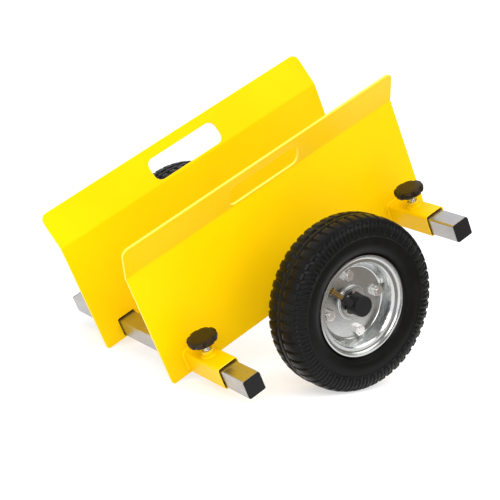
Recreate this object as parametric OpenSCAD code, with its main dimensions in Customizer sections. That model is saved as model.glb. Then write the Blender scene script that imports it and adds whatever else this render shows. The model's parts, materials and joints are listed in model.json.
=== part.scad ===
// Drywall cart: two bent steel side plates that slide on two square beams, with a pneumatic wheel
// on the outside of each plate. Modelled level, then tipped to stand on its tyres and plate corners.

/* [Side plates] */
// Length of a side plate along the panel it carries
plate_length = 432; // [380:1:500]
// Height of the upright part, from its lower edge to the bend line
plate_height = 158; // [135:1:200]
// Width of the leaning upper flange, from the bend line to its top edge
flange_width = 49; // [46:1:70]
// Outward lean of the flange from upright, in degrees
flange_lean = 27; // [15:1:40]
// Thickness of the plate's sheet steel
plate_thickness = 3; // [2:0.5:5]
// Radius on the hollow side of the bend
bend_radius = 4; // [2:0.5:8]
// Radius of the flange's two top corners
flange_corner_radius = 10; // [4:1:14]
// Radius of the plate's two lower corners
foot_corner_radius = 4; // [2:0.5:8]
// Clear opening between the two plates as photographed
opening = 157; // [110:1:190]

/* [Handle slots] */
// Length of the hand slot in the flange
slot_length = 112; // [90:1:140]
// Width of the hand slot up the flange
slot_width = 31; // [26:1:34]
// Middle of the hand slot above the bend line, along the flange
slot_rise = 19; // [18:0.5:21]
// Corner radius of the hand slot
slot_corner_radius = 10; // [5:1:12]

/* [Cross beams] */
// Outside width and height of the square beam tube
beam_size = 25; // [20:1:32]
// Wall of the beam tube
beam_wall = 2; // [1.2:0.2:3]
// Outside corner radius of the beam tube
beam_corner_radius = 2.5; // [2:0.1:3]
// Length of a beam over its two end caps
beam_length = 412; // [380:1:460]
// Middle of a beam from the end of the plates
beam_inset = 42.5; // [36:0.5:60]
// Thickness of the end cap's outer face
cap_face = 2; // [1:0.5:4]
// Depth of the end cap's plug inside the beam
cap_plug = 14; // [8:1:24]
// Step of the end cap's face inside the beam's outline
cap_step = 0.3; // [0.1:0.1:0.8]
// Gap between the end cap's plug and the beam's inside
cap_clearance = 0.1; // [0.05:0.05:0.3]

/* [Sleeves] */
// Length of a sleeve out from the plate
sleeve_length = 76; // [60:1:90]
// Wall of the sleeve tube
sleeve_wall = 1.2; // [1:0.1:3]
// Mean gap between a beam and its sleeve, on each side
sleeve_clearance = 1.3; // [0.5:0.05:1.6]
// Gap left under a beam that is clamped down in its sleeve
seat_gap = 0.2; // [0.1:0.05:0.3]

/* [Clamps] */
// Diameter of the clamp stud
stud_d = 8; // [6:1:10]
// Chamfer on the tip of the clamp stud
stud_chamfer = 1; // [0.5:0.25:1.5]
// Diameter of the round nut that is welded on the sleeve
clamp_nut_d = 15; // [14:0.5:20]
// Height of the welded nut
clamp_nut_height = 8; // [6:0.5:12]
// Gap between the welded nut and the knob when clamped
knob_gap = 8; // [4:0.5:10]
// Diameter of the knob over its lobes
knob_d = 39; // [34:1:48]
// Height of the knob
knob_height = 12.5; // [11:0.5:16]
// Diameter of the knob's neck
knob_neck_d = 18; // [14:0.5:24]
// Height of the knob's neck
knob_neck_height = 2.5; // [1.5:0.5:4]
// Slope under the knob's lobes, in width and in height
knob_edge = 1.5; // [1:0.5:3]
// Number of lobes round the knob
knob_lobes = 8; // [6:1:10]
// Diameter of the hollows between the lobes
knob_flute_d = 7; // [6:0.5:10]
// Depth of the hollows between the lobes
knob_flute_depth = 2.6; // [1.5:0.1:3]
// Length of stud inside the knob
stud_grip = 9; // [6:0.5:9.5]
// Gap between the stud's tip and the beam when clamped
tip_gap = 0.05; // [0.02:0.01:0.1]

/* [Wheels] */
// Outside diameter of the tyre
tyre_d = 220; // [212:1:240]
// Width of the tyre
tyre_width = 58; // [54:1:62]
// Gap between the tyre and the plate
tyre_gap = 70.5; // [56:0.5:76]
// Height of the axle above the plate's lower edge
axle_height = 11; // [11:0.5:20]
// Height of the tyre's widest place between the rim and the crown, as a share
waist_share = 0.378; // [0.3:0.002:0.5]
// Number of tread lugs round each shoulder
lug_count = 52; // [36:1:60]
// Depth of the grooves between the lugs
lug_depth = 2.4; // [1.5:0.1:3]
// Share of the pitch that a lug fills
lug_share = 0.68; // [0.5:0.02:0.8]
// Thickness of the tyre's tread
tread_thickness = 9; // [7:0.5:11]
// Thickness of the tyre's side
sidewall_thickness = 5; // [4:0.5:7]
// Thickness of the tyre's bead on the rim
bead_width = 4; // [3:0.5:4.5]
// Gap between the tyre's bead and the rim
bead_clearance = 0.3; // [0.1:0.1:0.5]
// Rise of the tyre's side above the rim's lip, at the side's foot
foot_rise = 1.5; // [1:0.25:3]
// Place on the flare of the rim's lip where the tyre leaves it, down from the lip's edge
bead_wrap = 20; // [15:1:40]
// Wall of the inner tube
tube_wall = 2; // [1.5:0.25:3]
// Gap round the inner tube
tube_clearance = 0.4; // [0.3:0.1:1]

/* [Rims] */
// Diameter over the rim's lip
rim_lip_d = 127; // [124:1:132]
// Diameter of the seat that the tyre's bead sits on
bead_seat_d = 106; // [105:0.5:107]
// Diameter of the flat disc in the middle of the rim
rim_disc_d = 94; // [90:0.5:96]
// Thickness of the rim's sheet steel
rim_sheet = 2; // [1.5:0.25:2.5]
// Outer edge of the rim's lip from the middle of the tyre
rim_half_width = 23; // [22:0.5:25]
// Bend of the rim between its disc and its wall, on the sheet's middle line
rim_corner_radius = 4; // [3:0.5:5]
// Slope between the bead's seat and the rim's flange
rim_root = 2.5; // [2:0.25:3]
// Flare of the rim's lip, on the sheet's middle line
rim_flare = 5.5; // [5:0.25:6]
// Circle of the four rim bolts
bolt_circle_d = 75; // [68:0.5:75]
// Diameter of a rim bolt
bolt_d = 8; // [5:1:8]
// Width across flats of the rim bolt's nut and head
bolt_flats = 13; // [10:0.5:13]
// Height of the nut and of the bolt's head
bolt_nut_height = 6; // [4:0.5:7]
// Bolt end standing out of its nut
bolt_end = 1; // [0.5:0.5:4]
// Turn of the bolts from the level
bolt_phase = -9; // [-40:1:40]

/* [Valve] */
// Diameter of the valve stem
valve_d = 7; // [6:0.5:8]
// Length of bare stem inside the rim
valve_bare = 22; // [16:1:24]
// Length of the valve cap
valve_cap_length = 14; // [10:1:16]
// Diameter of the valve cap
valve_cap_d = 9; // [8.5:0.5:10]
// Chamfer on the end of the valve cap
valve_cap_chamfer = 1; // [0.5:0.25:1.5]
// Bare stem between the rim's wall and the stem's hex collar
valve_collar_rise = 6; // [5:0.5:8]
// Height of the stem's hex collar
valve_collar_height = 2.5; // [1.5:0.5:4]
// Width across flats of the stem's hex collar
valve_collar_flats = 9.5; // [9:0.5:11]
// Outward lean of the stem from the wheel's radius
valve_lean = 25; // [20:1:30]
// Place of the valve round the wheel, from the level
valve_phase = 124.5; // [100:0.5:150]
// Turn of the stem away from the axle, in the wheel's plane
valve_skew = 7.5; // [0:0.5:9]
// Where the stem passes the rim's wall, from the middle of the tyre
valve_offset = 9; // [8:0.5:11]

/* [Hub and axle] */
// Diameter of the axle
axle_d = 16; // [14:0.5:18]
// Diameter of the axle's threaded end
axle_thread_d = 12; // [10:1:13]
// Outside diameter of the spacer that is welded round the axle
axle_spacer_d = 22; // [20:0.5:24]
// Outside diameter of the ball bearings
bearing_d = 35; // [32:0.5:36]
// Width of a ball bearing
bearing_width = 9; // [8:0.5:11]
// Diameter of a bearing ball
ball_d = 4.6; // [4:0.1:4.8]
// Balls in one bearing
ball_count = 7; // [5:1:8]
// Gap between the two rings of a bearing
ring_gap = 2.9; // [2.4:0.1:3.4]
// Wall of the spacer between the two bearings
bearing_spacer_wall = 2; // [1:0.25:2.5]
// Wall of the hub tube round a bearing
hub_wall = 3; // [2:0.5:4]
// Shoulder in the hub that a bearing seats on
hub_shoulder = 1.5; // [1:0.25:1.75]
// Outer end of the hub from the middle of the tyre
hub_outer = 5; // [4:0.5:8]
// Inner end of the hub from the middle of the tyre
hub_inner = 44; // [36:1:48]
// Thickness of the axle's washer
washer_thickness = 2.5; // [1.5:0.5:4]
// Rim of the axle's washer past the axle
washer_rim = 4; // [3:0.25:4.5]
// Width across flats of the axle's nut
axle_nut_flats = 19; // [18:0.5:20]
// Height of the axle's nut
axle_nut_height = 11; // [8:0.5:13]
// Threaded end standing out of the axle's nut
axle_end = 2; // [1:0.5:4]
// Wall of the black cap over the axle's nut
axle_cap_wall = 1.9; // [1:0.1:2.2]
// Gap between the cap's bore and the corners of the axle's nut
axle_cap_clearance = 0.1; // [0.05:0.05:0.3]
// Room between the axle's end and the cap's front wall
axle_cap_room = 3.6; // [1:0.2:5]
// Rounding of the cap's front edge
axle_cap_rounding = 2; // [1:0.25:3]
// Gap of pieces that turn or slide round a shaft
running_clearance = 0.05; // [0.02:0.01:0.1]
// Gap of pieces that are fixed on each other
fixed_clearance = 0.03; // [0.02:0.01:0.1]

/* [Hidden] */
$fn = 64;

// The photographed near side is -Y, and the beam by the plates' low end is the lower one
NEAR = -1;
FAR = 1;
LOWER = -1;
UPPER = 1;
// Overshoot of cutters past the faces they cut
cut = 1;
// Straight steps in a bend, and sides of the tyre's round in a preview
plate_bend_steps = 8;
rim_bend_steps = 8;
cap_bend_steps = 6;
tyre_sides = 128;

// Plates
plate_inside = opening / 2;
plate_outside = plate_inside + plate_thickness;
plate_middle = plate_inside + plate_thickness / 2;
bend_setback = (bend_radius + plate_thickness) * tan(flange_lean / 2);
flange_top = plate_height + flange_width * cos(flange_lean);

// Beams and sleeves
beam_x = plate_length / 2 - beam_inset;
sleeve_bore = beam_size + 2 * sleeve_clearance;
sleeve_size = sleeve_bore + 2 * sleeve_wall;
beam_bottom = sleeve_wall + seat_gap;
beam_top = beam_bottom + beam_size;
bore_corner_radius = beam_corner_radius;
sleeve_corner_radius = bore_corner_radius + sleeve_wall;
beam_bore = beam_size - 2 * beam_wall;

// Clamps
clamp_y = plate_outside + sleeve_length / 2;
clamp_nut_top = sleeve_size + clamp_nut_height;
knob_bottom = clamp_nut_top + knob_gap;
stud_bottom = beam_top + tip_gap;
stud_top = knob_bottom + stud_grip;

// Wheels
wheel_y = plate_outside + tyre_gap + tyre_width / 2;
tyre_r = tyre_d / 2;
bead_seat_r = bead_seat_d / 2;
rim_lip_r = rim_lip_d / 2;
tyre_foot_r = rim_lip_r + foot_rise;
tyre_waist_r = tyre_foot_r + waist_share * (tyre_r - tyre_foot_r);
hub_d = bearing_d + 2 * hub_wall;
spacer_length = tyre_gap + tyre_width / 2 - hub_inner;

// Stance: the tyres and the plates' rounded lower corners stand on the floor together
foot_x = plate_length / 2 - foot_corner_radius;
foot_z = axle_height - foot_corner_radius;
tilt = asin((tyre_r - foot_corner_radius) / norm([foot_x, foot_z])) - atan2(foot_z, foot_x);
stand_height = tyre_r - axle_height * cos(tilt);
corner_reach = flange_corner_radius * norm([cos(tilt), cos(flange_lean) * sin(tilt)]);
low_end = -(plate_length / 2 - flange_corner_radius) * cos(tilt) - corner_reach
    - (flange_top - flange_corner_radius * cos(flange_lean)) * sin(tilt);
high_end = foot_x * cos(tilt) - foot_corner_radius * sin(tilt) + foot_corner_radius;
centre_x = (low_end + high_end) / 2;

// Outlines
function arc(centre, radius, from, to, steps) =
    [for (i = [0:steps]) let (a = from + (to - from) * i / steps) centre + radius * [cos(a), sin(a)]];

// A quarter of a squared-off oval: from its side (a = 0) to its top (a = 90)
function oval(a, half_width, height, power) =
    [height * pow(sin(a), 2 / power), half_width * pow(cos(a), 2 / power)];

// Edges of a bent sheet of even thickness that follows a middle line
function unit(v) = v / norm(v);
function across(a, b) = let (d = unit(b - a)) [-d[1], d[0]];
function mitre(path, i) =
    i == 0 ? across(path[0], path[1]) :
    i == len(path) - 1 ? across(path[i - 1], path[i]) :
    let (before = across(path[i - 1], path[i]), mean = unit(before + across(path[i], path[i + 1])))
        mean / (mean * before);
function sheet(path, thickness) = concat(
    [for (i = [0:len(path) - 1]) path[i] + mitre(path, i) * thickness / 2],
    [for (i = [len(path) - 1:-1:0]) path[i] - mitre(path, i) * thickness / 2]
);

// Half of the tyre's section, as [radius, distance from the middle]: crown, then side down to the rim
crown_power = 4;
crown_steps = 9;
side_steps = 6;
// Stretch of the crown's oval that a lug covers, in degrees, and how deep a lug is rooted in the tyre
lug_from = 88;
lug_to = 46;
lug_steps = 3;
lug_root = 1.5;
// Squareness of the knob's dome, and its steps
dome_power = 5;
dome_steps = 6;
function tyre_side(crown_r, half_width, foot_r, foot_w) = concat(
    [for (i = [0:crown_steps])
        let (a = 90 - 90 * i / crown_steps)
            [tyre_waist_r, 0] + oval(a, half_width, crown_r - tyre_waist_r, crown_power)],
    [for (i = [1:side_steps]) let (a = 90 * i / side_steps)
        [tyre_waist_r - (tyre_waist_r - foot_r) * sin(a), foot_w + (half_width - foot_w) * cos(a)]]
);
function mirrored(half) = concat(
    [for (i = [len(half) - 1:-1:1]) [half[i][0], -half[i][1]]],
    half
);

// Placing
module stance() {
    translate([-centre_x, 0, stand_height]) rotate([0, -tilt, 0]) children();
}

module on_side(side) {
    stance() {
        if (side == NEAR) {
            mirror([0, 1, 0]) children();
        } else {
            children();
        }
    }
}

module on_flange() {
    translate([0, plate_inside, plate_height]) rotate([-flange_lean, 0, 0]) children();
}

// Local Z is the axle's outward direction, with zero in the middle of the tyre
module on_axle(side) {
    on_side(side) translate([0, wheel_y, axle_height]) rotate([-90, 0, 0]) children();
}

module at_clamp(side, end) {
    on_side(side) translate([end * beam_x, clamp_y, 0]) children();
}

// Shared shapes
module rounded_block(size, radius) {
    cube([size[0] - 2 * radius, size[1], size[2]], center = true);
    cube([size[0], size[1], size[2] - 2 * radius], center = true);
    for (x = [-1, 1], z = [-1, 1]) {
        translate([x * (size[0] / 2 - radius), 0, z * (size[2] / 2 - radius)])
            rotate([90, 0, 0]) cylinder(r = radius, h = size[1], center = true);
    }
}

module corner_notch(radius, depth) {
    difference() {
        translate([-cut, -depth / 2, -cut]) cube([radius + cut, depth, radius + cut]);
        translate([radius, 0, radius]) rotate([90, 0, 0])
            cylinder(r = radius, h = depth + cut, center = true);
    }
}

module ring(outer_r, inner_r, height) {
    difference() {
        cylinder(r = outer_r, h = height);
        translate([0, 0, -cut]) cylinder(r = inner_r, h = height + 2 * cut);
    }
}

module hexagon(flats, height) {
    cylinder(d = flats / cos(30), h = height, $fn = 6);
}

// Cross beams
module beam(end) {
    tube_length = beam_length - 2 * cap_face;
    color("silver") stance() translate([end * beam_x, 0, beam_bottom + beam_size / 2]) difference() {
        rounded_block([beam_size, tube_length, beam_size], beam_corner_radius);
        cube([beam_bore, tube_length + 2 * cut, beam_bore], center = true);
    }
}

module beam_cap(end, side) {
    face = beam_size - 2 * cap_step;
    plug = beam_bore - 2 * cap_clearance;
    place = [end * beam_x, beam_length / 2, beam_bottom + beam_size / 2];
    color("#1c1c1e") on_side(side) translate(place) {
        translate([0, -cap_face / 2, 0])
            rounded_block([face, cap_face, face], beam_corner_radius - cap_step);
        translate([0, -cap_face - cap_plug / 2, 0]) cube([plug, cap_plug, plug], center = true);
    }
}

// Side frames
module side_plate(side) {
    bend_centre = [plate_outside + bend_radius, plate_height - bend_setback];
    rise = (flange_width - bend_setback) * [sin(flange_lean), cos(flange_lean)];
    inner = arc(bend_centre, bend_radius + plate_thickness, 180, 180 - flange_lean, plate_bend_steps);
    outer = arc(bend_centre, bend_radius, 180 - flange_lean, 180, plate_bend_steps);
    outline = concat([[plate_inside, 0]], inner, [inner[plate_bend_steps] + rise, outer[0] + rise],
        outer, [[plate_outside, 0]]);
    depth = plate_thickness + 2 * cut;
    color("gold") on_side(side) difference() {
        rotate([90, 0, 90]) linear_extrude(plate_length, center = true) polygon(outline);
        for (turn = [0, 180]) {
            translate([0, plate_middle, 0]) rotate([0, 0, turn])
                translate([-plate_length / 2, 0, 0]) corner_notch(foot_corner_radius, depth);
            on_flange() translate([0, plate_thickness / 2, flange_width]) rotate([0, 0, turn])
                translate([-plate_length / 2, 0, 0]) mirror([0, 0, 1])
                    corner_notch(flange_corner_radius, depth);
        }
        on_flange() translate([0, plate_thickness / 2, slot_rise])
            rounded_block([slot_length, depth, slot_width], slot_corner_radius);
        for (end = [LOWER, UPPER]) {
            translate([end * beam_x, plate_middle, sleeve_size / 2])
                rounded_block([sleeve_bore, depth, sleeve_bore], bore_corner_radius);
        }
        translate([0, plate_middle, axle_height]) rotate([90, 0, 0])
            cylinder(r = axle_d / 2 + fixed_clearance, h = depth, center = true);
    }
}

module sleeve(side, end) {
    color("gold") on_side(side) difference() {
        translate([end * beam_x, clamp_y, sleeve_size / 2]) difference() {
            rounded_block([sleeve_size, sleeve_length, sleeve_size], sleeve_corner_radius);
            rounded_block([sleeve_bore, sleeve_length + 2 * cut, sleeve_bore], bore_corner_radius);
        }
        translate([end * beam_x, clamp_y, sleeve_size - 2 * sleeve_wall])
            cylinder(r = stud_d / 2 + running_clearance, h = 3 * sleeve_wall);
    }
}

module clamp_nuts(side) {
    color("gold") for (end = [LOWER, UPPER]) {
        at_clamp(side, end) translate([0, 0, sleeve_size])
            ring(clamp_nut_d / 2, stud_d / 2 + running_clearance, clamp_nut_height);
    }
}

module stud(side, end) {
    tip_top = stud_bottom + stud_chamfer;
    color("silver") at_clamp(side, end) {
        translate([0, 0, stud_bottom])
            cylinder(d1 = stud_d - 2 * stud_chamfer, d2 = stud_d, h = stud_chamfer);
        translate([0, 0, tip_top]) cylinder(d = stud_d, h = stud_top - tip_top);
    }
}

module knob(side, end) {
    knob_r = knob_d / 2;
    neck_r = knob_neck_d / 2;
    flute_place = knob_r - knob_flute_depth + knob_flute_d / 2;
    edge_top = knob_neck_height + knob_edge;
    dome_bottom = (knob_height + edge_top) / 2;
    dome = [for (i = [0:dome_steps])
        oval(90 * i / dome_steps, knob_r, knob_height - dome_bottom, dome_power)];
    outline = concat(
        [[0, 0], [neck_r, 0], [neck_r, knob_neck_height], [knob_r - knob_edge, edge_top]],
        [for (p = dome) [p[1], p[0] + dome_bottom]]
    );
    color("#201a17") at_clamp(side, end) translate([0, 0, knob_bottom]) difference() {
        rotate_extrude() polygon(outline);
        for (i = [0:knob_lobes - 1]) {
            rotate(360 * (i + 0.5) / knob_lobes) translate([flute_place, 0, -cut])
                cylinder(d = knob_flute_d, h = knob_height + 2 * cut);
        }
        translate([0, 0, -cut])
            cylinder(r = stud_d / 2 + running_clearance, h = stud_grip + running_clearance + cut);
    }
}

// Axles
axle_nut_bottom = hub_outer + washer_thickness;
axle_tip = axle_nut_bottom + axle_nut_height + axle_end;
axle_cap_bore = axle_nut_flats / cos(30) + 2 * axle_cap_clearance;

module axle(side) {
    plate_end = plate_inside - wheel_y;
    color("gainsboro") on_axle(side) {
        translate([0, 0, plate_end]) cylinder(d = axle_d, h = hub_outer - plate_end);
        translate([0, 0, hub_outer]) cylinder(d = axle_thread_d, h = axle_tip - hub_outer);
    }
}

module axle_spacer(side) {
    color("gold") on_axle(side) translate([0, 0, -hub_inner - spacer_length])
        ring(axle_spacer_d / 2, axle_d / 2 + fixed_clearance, spacer_length);
}

module axle_washer(side) {
    color("gainsboro") on_axle(side) translate([0, 0, hub_outer])
        ring(axle_d / 2 + washer_rim, axle_thread_d / 2 + fixed_clearance, washer_thickness);
}

module axle_nut(side) {
    color("gainsboro") on_axle(side) translate([0, 0, axle_nut_bottom]) difference() {
        hexagon(axle_nut_flats, axle_nut_height);
        translate([0, 0, -cut])
            cylinder(r = axle_thread_d / 2 + fixed_clearance, h = axle_nut_height + 2 * cut);
    }
}

module axle_cap(side) {
    radius = axle_cap_bore / 2 + axle_cap_wall;
    depth = axle_tip + axle_cap_room - axle_nut_bottom;
    length = depth + axle_cap_wall;
    rounding = axle_cap_rounding;
    edge = arc([radius - rounding, length - rounding], rounding, 0, 90, cap_bend_steps);
    color("#1c1c1e") on_axle(side) translate([0, 0, axle_nut_bottom]) difference() {
        rotate_extrude() polygon(concat([[0, 0], [radius, 0]], edge, [[0, length]]));
        translate([0, 0, -cut]) cylinder(d = axle_cap_bore, h = depth + cut);
    }
}

// Bearings
bearing_places = [-hub_inner, hub_outer - bearing_width];
ball_circle_r = (bearing_d + axle_d) / 4;

module ball_track() {
    translate([0, 0, bearing_width / 2]) rotate_extrude() translate([ball_circle_r, 0])
        circle(r = ball_d / 2 + running_clearance);
}

module bearing_outer_rings(side) {
    color("lightgray") on_axle(side) for (w = bearing_places) {
        translate([0, 0, w]) difference() {
            ring(bearing_d / 2 - fixed_clearance, ball_circle_r + ring_gap / 2, bearing_width);
            ball_track();
        }
    }
}

module bearing_inner_rings(side) {
    color("lightgray") on_axle(side) for (w = bearing_places) {
        translate([0, 0, w]) difference() {
            ring(ball_circle_r - ring_gap / 2, axle_d / 2 + fixed_clearance, bearing_width);
            ball_track();
        }
    }
}

module bearing_balls(side) {
    color("white") on_axle(side) for (w = bearing_places, i = [0:ball_count - 1]) {
        rotate(360 * i / ball_count) translate([ball_circle_r, 0, w + bearing_width / 2])
            sphere(d = ball_d);
    }
}

module bearing_spacer(side) {
    color("gainsboro") on_axle(side) translate([0, 0, bearing_places[0] + bearing_width])
        ring(axle_d / 2 + bearing_spacer_wall, axle_d / 2 + fixed_clearance,
            bearing_places[1] - bearing_places[0] - bearing_width);
}

module hub(side) {
    length = hub_inner + hub_outer;
    color("gainsboro") on_axle(side) difference() {
        translate([0, 0, -hub_inner]) cylinder(d = hub_d, h = length);
        translate([0, 0, -hub_inner - cut]) cylinder(d = bearing_d - 2 * hub_shoulder, h = length + 2 * cut);
        for (w = [bearing_places[0] - cut, bearing_places[1]]) {
            translate([0, 0, w]) cylinder(d = bearing_d, h = bearing_width + cut);
        }
    }
}

// Rims
rim_flange_w = rim_half_width - rim_flare;
flare_centre = [rim_lip_r - rim_sheet / 2 - rim_flare, rim_half_width];
rim_path = concat(
    [[hub_d / 2 + fixed_clearance, rim_sheet / 2]],
    arc([(rim_disc_d + rim_sheet) / 2 - rim_corner_radius, rim_sheet / 2 + rim_corner_radius],
        rim_corner_radius, -90, 0, rim_bend_steps),
    [
        [bead_seat_r - rim_sheet / 2, rim_flange_w - rim_root],
        [bead_seat_r - rim_sheet / 2 + rim_root, rim_flange_w],
    ],
    arc(flare_centre, rim_flare, -90, 0, rim_bend_steps)
);

module rim_half() {
    rotate_extrude() polygon(sheet(rim_path, rim_sheet));
}

module at_bolts() {
    for (i = [0:3]) {
        rotate(90 * i - bolt_phase) translate([bolt_circle_d / 2, 0, 0]) rotate(30) children();
    }
}

// Local Z runs along the valve stem towards the axle, from where it passes the rim's wall
module on_valve() {
    rotate(-valve_phase) translate([bead_seat_r - rim_sheet, 0, valve_offset])
        rotate(valve_skew) rotate([0, valve_lean - 90, 0]) children();
}

module bolt_holes() {
    at_bolts() cylinder(r = bolt_d / 2 + running_clearance, h = 4 * rim_sheet, center = true);
}

module rim_outer(side) {
    color("gainsboro") on_axle(side) difference() {
        rim_half();
        bolt_holes();
        on_valve() cylinder(r = valve_d / 2 + 2 * running_clearance, h = 2 * (valve_d + cut), center = true);
    }
}

module rim_inner(side) {
    color("gainsboro") on_axle(side) difference() {
        mirror([0, 0, 1]) rim_half();
        bolt_holes();
    }
}

module rim_bolts(side) {
    shank = 2 * rim_sheet + bolt_nut_height + bolt_end;
    color("silver") on_axle(side) at_bolts() {
        translate([0, 0, -rim_sheet]) cylinder(d = bolt_d, h = shank);
        translate([0, 0, -rim_sheet - bolt_nut_height]) hexagon(bolt_flats, bolt_nut_height);
    }
}

module rim_nuts(side) {
    color("silver") on_axle(side) at_bolts() translate([0, 0, rim_sheet]) difference() {
        hexagon(bolt_flats, bolt_nut_height);
        translate([0, 0, -cut])
            cylinder(r = bolt_d / 2 + running_clearance, h = bolt_nut_height + 2 * cut);
    }
}

// Tyres
bead_face_w = rim_flange_w - rim_sheet / 2 - bead_clearance;
bead_bottom_r = bead_seat_r + bead_clearance;
bead_back = arc(flare_centre, rim_flare + rim_sheet / 2 + bead_clearance, -bead_wrap, -90, rim_bend_steps);

module tyre_body(crown_r) {
    outside = concat(
        tyre_side(crown_r, tyre_width / 2, tyre_foot_r, bead_back[0][1]),
        bead_back,
        [
            [bead_bottom_r + rim_root, bead_face_w],
            [bead_bottom_r, bead_face_w - rim_root],
        ]
    );
    inside = concat(
        tyre_side(tyre_r - tread_thickness, tyre_width / 2 - sidewall_thickness, tyre_foot_r,
            bead_face_w - bead_width),
        [[bead_bottom_r, bead_face_w - bead_width]]
    );
    back = mirrored(inside);
    outline = concat(mirrored(outside), [for (i = [len(back) - 1:-1:0]) back[i]]);
    rotate_extrude($fn = tyre_sides) polygon(outline);
}

module lug_row(start_angle) {
    pitch = 360 / lug_count;
    sink = lug_depth + lug_root;
    top = [for (i = [0:lug_steps]) let (a = lug_from + (lug_to - lug_from) * i / lug_steps)
        [tyre_waist_r, 0] + oval(a, tyre_width / 2, tyre_r - tyre_waist_r, crown_power)];
    bottom = [for (i = [len(top) - 1:-1:0]) top[i] - [sink, sink]];
    for (i = [0:lug_count - 1]) {
        rotate(start_angle + i * pitch) rotate_extrude(angle = lug_share * pitch, $fn = tyre_sides)
            polygon(concat(top, bottom));
    }
}

module tyre(side) {
    color("#26262a") on_axle(side) {
        tyre_body(tyre_r - lug_depth);
        lug_row(0);
        mirror([0, 0, 1]) lug_row(180 / lug_count);
    }
}

module inner_tube(side) {
    crown = tyre_r - tread_thickness - tube_clearance;
    half_width = tyre_width / 2 - sidewall_thickness - tube_clearance;
    outer = tyre_side(crown, half_width, tyre_foot_r, 0);
    inner = tyre_side(crown - tube_wall, half_width - tube_wall, tyre_foot_r + tube_wall, 0);
    stem_hole = valve_root + 2 * tube_wall + cut;
    color("#3a3a3e") on_axle(side) difference() {
        rotate_extrude($fn = tyre_sides) polygon(mirrored(outer));
        rotate_extrude($fn = tyre_sides) polygon(mirrored(inner));
        on_valve() translate([0, 0, -stem_hole])
            cylinder(r = valve_d / 2 + running_clearance, h = stem_hole);
    }
}

// Valves
valve_root = (tyre_foot_r - bead_seat_r + rim_sheet) / cos(valve_lean) / cos(valve_skew);

module valve_stem(side) {
    color("darkgoldenrod") on_axle(side) on_valve() {
        translate([0, 0, -valve_root]) cylinder(d = valve_d, h = valve_root + valve_bare);
        translate([0, 0, valve_collar_rise]) hexagon(valve_collar_flats, valve_collar_height);
    }
}

module valve_cap(side) {
    side_length = valve_cap_length - valve_cap_chamfer;
    end_d = valve_cap_d - 2 * valve_cap_chamfer;
    color("#1c1c1e") on_axle(side) on_valve() translate([0, 0, valve_bare]) {
        cylinder(d = valve_cap_d, h = side_length);
        translate([0, 0, side_length]) cylinder(d1 = valve_cap_d, d2 = end_d, h = valve_cap_chamfer);
    }
}

beam(LOWER);  // lower_beam
beam(UPPER);  // upper_beam
beam_cap(LOWER, NEAR);  // lower_beam_cap_near
beam_cap(LOWER, FAR);  // lower_beam_cap_far
beam_cap(UPPER, NEAR);  // upper_beam_cap_near
beam_cap(UPPER, FAR);  // upper_beam_cap_far
side_plate(NEAR);  // near_side_plate
side_plate(FAR);  // far_side_plate
sleeve(NEAR, LOWER);  // near_lower_sleeve
sleeve(NEAR, UPPER);  // near_upper_sleeve
sleeve(FAR, LOWER);  // far_lower_sleeve
sleeve(FAR, UPPER);  // far_upper_sleeve
clamp_nuts(NEAR);  // near_clamp_nuts
clamp_nuts(FAR);  // far_clamp_nuts
stud(NEAR, LOWER);  // near_lower_stud
stud(NEAR, UPPER);  // near_upper_stud
stud(FAR, LOWER);  // far_lower_stud
stud(FAR, UPPER);  // far_upper_stud
knob(NEAR, LOWER);  // near_lower_knob
knob(NEAR, UPPER);  // near_upper_knob
knob(FAR, LOWER);  // far_lower_knob
knob(FAR, UPPER);  // far_upper_knob
axle(NEAR);  // near_axle
axle(FAR);  // far_axle
axle_spacer(NEAR);  // near_axle_spacer
axle_spacer(FAR);  // far_axle_spacer
bearing_spacer(NEAR);  // near_bearing_spacer
bearing_spacer(FAR);  // far_bearing_spacer
bearing_inner_rings(NEAR);  // near_bearing_inner_rings
bearing_inner_rings(FAR);  // far_bearing_inner_rings
axle_washer(NEAR);  // near_axle_washer
axle_washer(FAR);  // far_axle_washer
axle_nut(NEAR);  // near_axle_nut
axle_nut(FAR);  // far_axle_nut
axle_cap(NEAR);  // near_axle_cap
axle_cap(FAR);  // far_axle_cap
bearing_outer_rings(NEAR);  // near_bearing_outer_rings
bearing_outer_rings(FAR);  // far_bearing_outer_rings
bearing_balls(NEAR);  // near_bearing_balls
bearing_balls(FAR);  // far_bearing_balls
hub(NEAR);  // near_hub
hub(FAR);  // far_hub
rim_outer(NEAR);  // near_rim_outer
rim_outer(FAR);  // far_rim_outer
rim_inner(NEAR);  // near_rim_inner
rim_inner(FAR);  // far_rim_inner
rim_bolts(NEAR);  // near_rim_bolts
rim_bolts(FAR);  // far_rim_bolts
rim_nuts(NEAR);  // near_rim_nuts
rim_nuts(FAR);  // far_rim_nuts
tyre(NEAR);  // near_tyre
tyre(FAR);  // far_tyre
inner_tube(NEAR);  // near_inner_tube
inner_tube(FAR);  // far_inner_tube
valve_stem(NEAR);  // near_valve_stem
valve_stem(FAR);  // far_valve_stem
valve_cap(NEAR);  // near_valve_cap
valve_cap(FAR);  // far_valve_cap
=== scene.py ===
"""Drywall cart: looks of its painted steel, zinc, rubber and plastic, on its solids' frame."""
import json
import math

import bmesh
import bpy
import numpy as np
from mathutils import Matrix, Quaternion, Vector

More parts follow.
